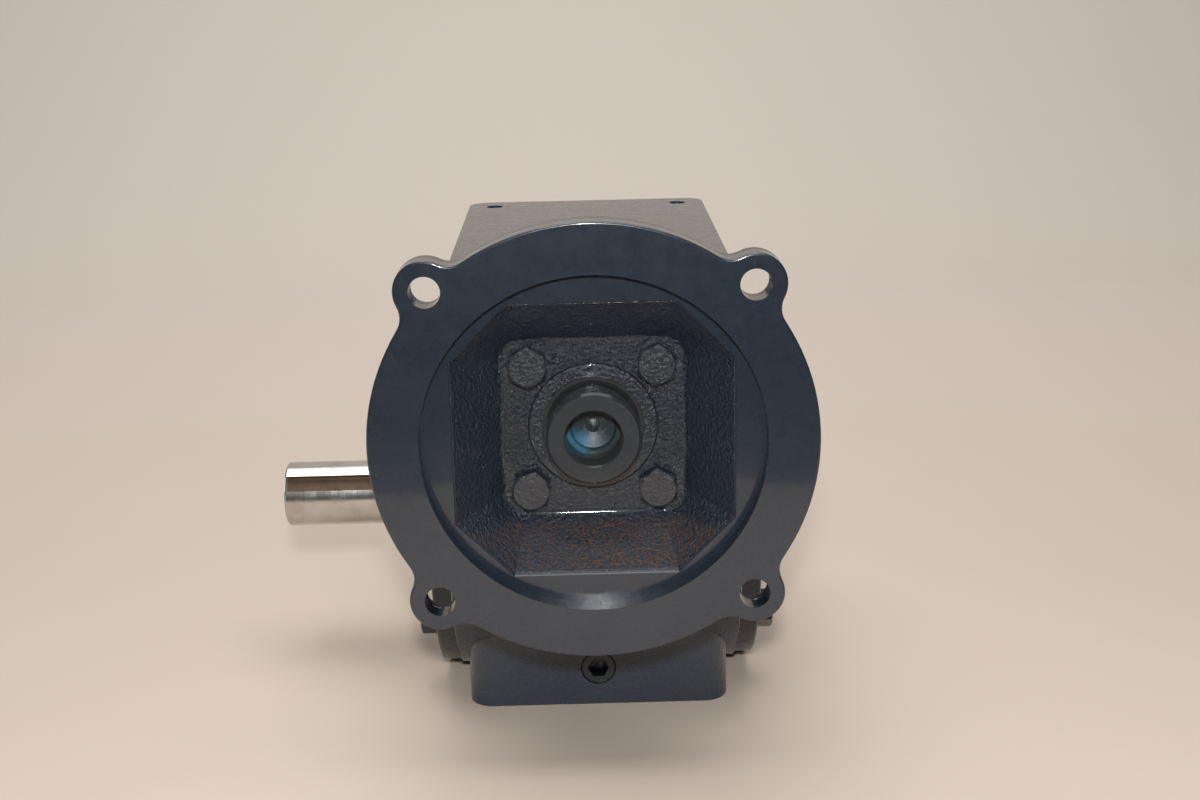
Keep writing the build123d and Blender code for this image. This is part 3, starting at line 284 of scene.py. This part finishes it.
def seal_finish():
    """Pressed seal case, browned by oil on its lower left, with a red-brown crescent under the shaft: part
    smear, part painted shadow of the shaft.
    """
    made = Maker("seal_steel")
    radius = made.distance("Y", WORM_Z)
    low = made.ramp(made.axis("Z"), WORM_Z + 6 * MM, WORM_Z - 14 * MM)
    left = made.ramp(made.axis("X"), 6 * MM, -12 * MM)
    near = made.ramp(radius, 24 * MM, 23 * MM)
    colour = made.mix(made.noise(3 * MM, 4), (0.055, 0.058, 0.065, 1), (0.025, 0.027, 0.032, 1))
    colour = made.mix(made.product(low, left, near, 0.6), colour, OIL_BROWN)
    # a red-brown crescent just under the quill: part smear, part painted shadow that the quill casts on the
    # seal
    below = made.ramp(made.axis("Z"), WORM_Z - 8 * MM, WORM_Z - 14 * MM)
    smear = made.ramp(radius, 19.8 * MM, 18.4 * MM)
    colour = made.mix(made.product(smear, below, 0.85), colour, (0.20, 0.05, 0.025, 1))
    made.set(Base_Color=colour, Metallic=0.8, Coat_Weight=0.4, Coat_Roughness=0.08)
    made.set(Roughness=made.math("MULTIPLY_ADD", made.noise(2 * MM, 3), 0.2, 0.15))
    made.bump(made.noise(0.8 * MM, 3), 0.02 * MM)
    return made.material


def ground_steel(name, along, height, colour, roughness, stain=None):
    """Steel ground round an axis along X or Y: fine rings, smears of oil and a brown stain in recesses."""
    made = Maker(name)
    fine = (3000, 60, 60) if along == "X" else (60, 3000, 60)
    rings = made.noise(1.0, 3, 0.6, vector=made.stretched(fine))
    smear = made.noise(9 * MM, 4)
    tint = made.mix(made.ramp(smear, 0.35, 0.7), colour, shaded(colour, 0.82))
    rough = made.math("MULTIPLY_ADD", rings, 0.12, roughness)
    rough = made.math("ADD", rough, made.math("MULTIPLY", made.ramp(smear, 0.5, 0.75), 0.1))
    if stain:
        inside = made.ramp(made.distance(along, height), stain, stain - 0.3 * MM)
        past_end = made.ramp(made.axis("X"), SHAFT_END + 0.2 * MM, SHAFT_END + 1 * MM)
        inside = made.math("MULTIPLY", inside, past_end)
        brown = made.mix(made.noise(5 * MM, 4), (0.10, 0.065, 0.045, 1), (0.24, 0.17, 0.12, 1))
        tint = made.mix(inside, tint, brown)
        rough = made.math("ADD", rough, made.math("MULTIPLY", inside, 0.2))
    made.set(Base_Color=tint, Metallic=1.0, Roughness=rough)
    made.bump(rings, 0.01 * MM)
    return made.material


def metal(name, colour, roughness, grain=0.6 * MM, depth=0.02 * MM):
    """Plain metal with a fine grain and slightly uneven colour."""
    made = Maker(name)
    shade = made.mix(made.noise(7 * MM, 4), colour, shaded(colour, 0.7))
    made.set(Base_Color=shade, Metallic=1.0)
    made.set(Roughness=made.math("MULTIPLY_ADD", made.noise(3 * MM, 3), 0.2, roughness))
    made.bump(made.noise(grain, 3), depth)
    return made.material


def dull(name, colour, roughness, grain, depth):
    """Rubber, fibre sheet or bare iron: no gloss, a visible grain."""
    made = Maker(name)
    shade = made.mix(made.ramp(made.noise(2 * MM, 4), 0.35, 0.7), colour, shaded(colour, 1.5))
    made.set(Base_Color=shade)
    made.set(Roughness=made.math("MULTIPLY_ADD", made.noise(1.2 * MM, 3), 0.15, roughness))
    made.bump(made.noise(grain, 4), depth)
    return made.material


def bore_plug_finish():
    """Dark passivated cap: a scratched grey middle and a blue patch at its lower left."""
    made = Maker("plug_zinc")
    radius = made.distance("Y", WORM_Z)
    middle = made.ramp(radius, 6.5 * MM, 4 * MM)
    scratch = made.ramp(made.noise(1, 3, vector=made.stretched((1800, 300, 500))), 0.52, 0.66)
    base = made.mix(scratch, (0.035, 0.045, 0.05, 1), (0.11, 0.115, 0.12, 1))
    colour = made.mix(middle, (0.03, 0.045, 0.055, 1), base)
    left = made.math("MULTIPLY", made.ramp(made.axis("X"), 0.0, -4 * MM),
                     made.ramp(made.axis("Z"), WORM_Z + 1 * MM, WORM_Z - 4 * MM))
    patch = made.math("MULTIPLY", left, made.ramp(made.noise(3 * MM, 3), 0.35, 0.5))
    colour = made.mix(patch, colour, (0.045, 0.16, 0.24, 1))
    made.set(Base_Color=colour, Metallic=0.3)
    made.set(Roughness=made.math("MULTIPLY_ADD", made.noise(2 * MM, 3), 0.2, 0.35))
    made.bump(made.noise(1 * MM, 3), 0.05 * MM)
    return made.material


# ---- finishes of the CAD nodes -------------------------------------------------------------------
flange_paint = enamel("flange_enamel", cast=1.0, flange=True)
casting_paint = enamel("casting_enamel", cast=0.35, scuffs=True, shade=1.3)
# painted shade: the side covers take a darker copy of the enamel, at 0.7 of its colour, for the flange's
# shadow on them
cover_painted_shade = enamel("cover_enamel", cast=0.35, shade=0.7, coat=0.1)
hardware_paint = enamel("hardware_enamel", cast=0.6, shade=0.6)

FINISHES = {
    "casting": casting_paint,
    "painted_hardware": hardware_paint,
    "seal_steel": seal_finish(),
    "quill_steel": quill_finish(),
    "shaft_steel": ground_steel("shaft_steel", "X", OUTPUT_Z, (0.60, 0.575, 0.545, 1), 0.16, KEYWAY_STAIN_R),
    "plug_zinc": bore_plug_finish(),
    "bearing_steel": metal("bearing_steel", (0.62, 0.62, 0.63, 1), 0.12, 0.3 * MM, 0.004 * MM),
    "cage_steel": metal("cage_steel", (0.48, 0.45, 0.40, 1), 0.3),
    "bronze": metal("gear_bronze", (0.66, 0.42, 0.17, 1), 0.24),
    "hub_iron": dull("hub_iron", (0.10, 0.10, 0.10, 1), 0.45, 0.8 * MM, 0.05 * MM),
    "spring_steel": metal("spring_steel", (0.34, 0.34, 0.36, 1), 0.28),
    "shim_steel": metal("shim_steel", (0.55, 0.54, 0.50, 1), 0.25),
    "gasket_fibre": dull("gasket_fibre", (0.10, 0.085, 0.06, 1), 0.75, 0.5 * MM, 0.05 * MM),
    "seal_rubber": dull("seal_rubber", (0.012, 0.012, 0.012, 1), 0.55, 0.6 * MM, 0.02 * MM),
}

CAST_PAINTS = {"motor_flange": flange_paint, "output_cover": cover_painted_shade, "blind_cover": cover_painted_shade}

for part in frame["record"]["subparts"]:
    node = nodes[part["node"]]
    finish = CAST_PAINTS.get(part["node"], FINISHES[part["material_slot"]])
    node.data.materials.clear()
    node.data.materials.append(finish)


# ---- floor, backdrop and light -------------------------------------------------------------------
def paper():
    """One sheet of warm white paper: floor in front, curved up into the backdrop."""
    half_width, front, back, rise, bend = 1.6, -0.42, 1.15, 1.5, 0.45
    steps = 16
    outline = [(front, 0.0), (back - bend, 0.0)]
    for step in range(1, steps + 1):
        turn = math.pi / 2 * step / steps
        outline.append((back - bend + bend * math.sin(turn), bend - bend * math.cos(turn)))
    outline.append((back, rise))
    verts = [(x, y, z) for y, z in outline for x in (-half_width, half_width)]
    faces = [(2 * i, 2 * i + 1, 2 * i + 3, 2 * i + 2) for i in range(len(outline) - 1)]
    mesh = bpy.data.meshes.new("paper")
    mesh.from_pydata(verts, [], faces)
    for face in mesh.polygons:
        face.use_smooth = True
    sheet = bpy.data.objects.new("paper", mesh)
    bpy.context.scene.collection.objects.link(sheet)
    made = Maker("paper")
    near = made.mix(made.noise(0.4, 3), (0.70, 0.585, 0.485, 1), (0.74, 0.62, 0.515, 1))
    tone = made.mix(made.ramp(made.axis("Y"), 0.0, 0.9), near, (0.83, 0.74, 0.655, 1))
    made.set(Base_Color=tone, Roughness=0.75)
    made.bump(made.noise(0.12, 2), 0.002)
    mesh.materials.append(made.material)


def area_light(name, place, target, size, power, colour=(1, 1, 1)):
    """A square soft light that points at its target."""
    data = bpy.data.lights.new(name, "AREA")
    data.size = size
    data.energy = power
    data.color = colour
    light = bpy.data.objects.new(name, data)
    light.location = place
    light.rotation_euler = (Vector(target) - Vector(place)).to_track_quat("-Z", "Y").to_euler()
    bpy.context.scene.collection.objects.link(light)


paper()
TARGET = (0, -0.05, 0.1)
area_light("flash", (-0.003, -0.66, 0.367), TARGET, 0.035, 3.0)
area_light("overhead", (-0.25, 0.25, 1.5), TARGET, 1.1, 8)
area_light("backdrop_fill", (0.1, -0.1, 1.5), (0, 1.0, 0.3), 1.0, 10.5)

world = bpy.data.worlds.new("room")
bpy.context.scene.world = world
world.use_nodes = True
world.node_tree.nodes["Background"].inputs["Color"].default_value = (0.8, 0.88, 1.0, 1)
world.node_tree.nodes["Background"].inputs["Strength"].default_value = 0.05
bpy.context.scene.view_settings.view_transform = "Standard"
